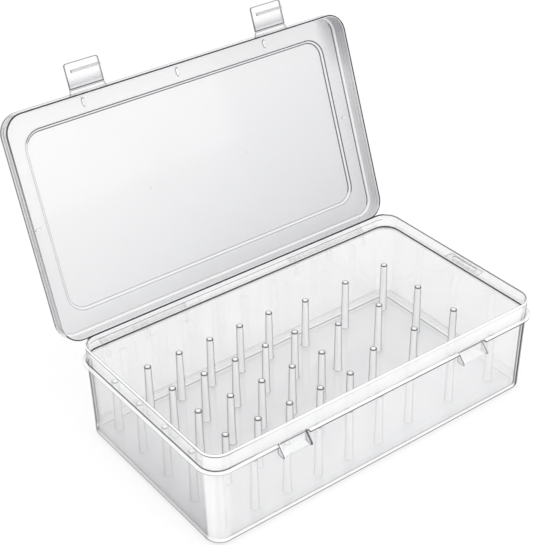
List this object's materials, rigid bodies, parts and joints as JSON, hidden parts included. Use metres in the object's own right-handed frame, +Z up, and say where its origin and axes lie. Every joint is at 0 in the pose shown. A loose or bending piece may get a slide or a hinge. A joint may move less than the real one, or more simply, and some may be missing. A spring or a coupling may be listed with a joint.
{
  "type": "thread storage box",
  "caption": "Clear rectangular sewing-thread box with a hinged lid open on its stop, fold-over latches and two fields of upright hollow spool pegs.",
  "frame": {"origin": "centre of the tub's flat base, on the surface it stands on", "axes": "+X along the long side towards the slotted lug, +Y towards the hinges, +Z up"},
  "size_m": [0.327, 0.2661, 0.2662],
  "materials": {
    "tub_plastic": "clear, glossy",
    "lid_plastic": "clear, glossy",
    "latch_plastic": "clear, glossy",
    "rod_plastic": "clear, glossy",
    "peg_plastic": "clear, slightly frosted"
  },
  "bodies": {
    "tub": {"tub": "tub_plastic", "hinge_rod_left": "rod_plastic", "hinge_rod_right": "rod_plastic", "close_peg_r1c1": "peg_plastic", "close_peg_r1c2": "peg_plastic", "close_peg_r1c3": "peg_plastic", "close_peg_r1c4": "peg_plastic", "close_peg_r1c5": "peg_plastic", "close_peg_r1c6": "peg_plastic", "close_peg_r2c1": "peg_plastic", "close_peg_r2c2": "peg_plastic", "close_peg_r2c3": "peg_plastic", "close_peg_r2c4": "peg_plastic", "close_peg_r2c5": "peg_plastic", "close_peg_r2c6": "peg_plastic", "close_peg_r3c1": "peg_plastic", "close_peg_r3c2": "peg_plastic", "close_peg_r3c3": "peg_plastic", "close_peg_r3c4": "peg_plastic", "close_peg_r3c5": "peg_plastic", "close_peg_r3c6": "peg_plastic", "close_peg_r4c1": "peg_plastic", "close_peg_r4c2": "peg_plastic", "close_peg_r4c3": "peg_plastic", "close_peg_r4c4": "peg_plastic", "close_peg_r4c5": "peg_plastic", "close_peg_r4c6": "peg_plastic", "close_peg_r5c1": "peg_plastic", "close_peg_r5c2": "peg_plastic", "close_peg_r5c3": "peg_plastic", "close_peg_r5c4": "peg_plastic", "close_peg_r5c5": "peg_plastic", "close_peg_r5c6": "peg_plastic", "wide_peg_r1c1": "peg_plastic", "wide_peg_r1c2": "peg_plastic", "wide_peg_r1c3": "peg_plastic", "wide_peg_r2c1": "peg_plastic", "wide_peg_r2c2": "peg_plastic", "wide_peg_r2c3": "peg_plastic", "wide_peg_r3c1": "peg_plastic", "wide_peg_r3c2": "peg_plastic", "wide_peg_r3c3": "peg_plastic", "wide_peg_r4c1": "peg_plastic", "wide_peg_r4c2": "peg_plastic", "wide_peg_r4c3": "peg_plastic"},
    "lid": {"lid": "lid_plastic"},
    "latch_left": {"latch_left": "latch_plastic"},
    "latch_right": {"latch_right": "latch_plastic"}
  },
  "joints": [
    {"name": "lid_hinge", "type": "hinge", "parent": "tub", "child": "lid", "pos_m": [0, 0.095, 0.0698], "axis": [1, 0, 0], "range_deg": [0, 110]},
    {"name": "latch_left_hinge", "type": "hinge", "parent": "lid", "child": "latch_left", "pos_m": [-0.086, 0.16137, 0.24805], "axis": [1, 0, 0], "range_deg": [-90, 90]},
    {"name": "latch_right_hinge", "type": "hinge", "parent": "lid", "child": "latch_right", "pos_m": [0.086, 0.16137, 0.24805], "axis": [1, 0, 0], "range_deg": [-90, 90]}
  ]
}
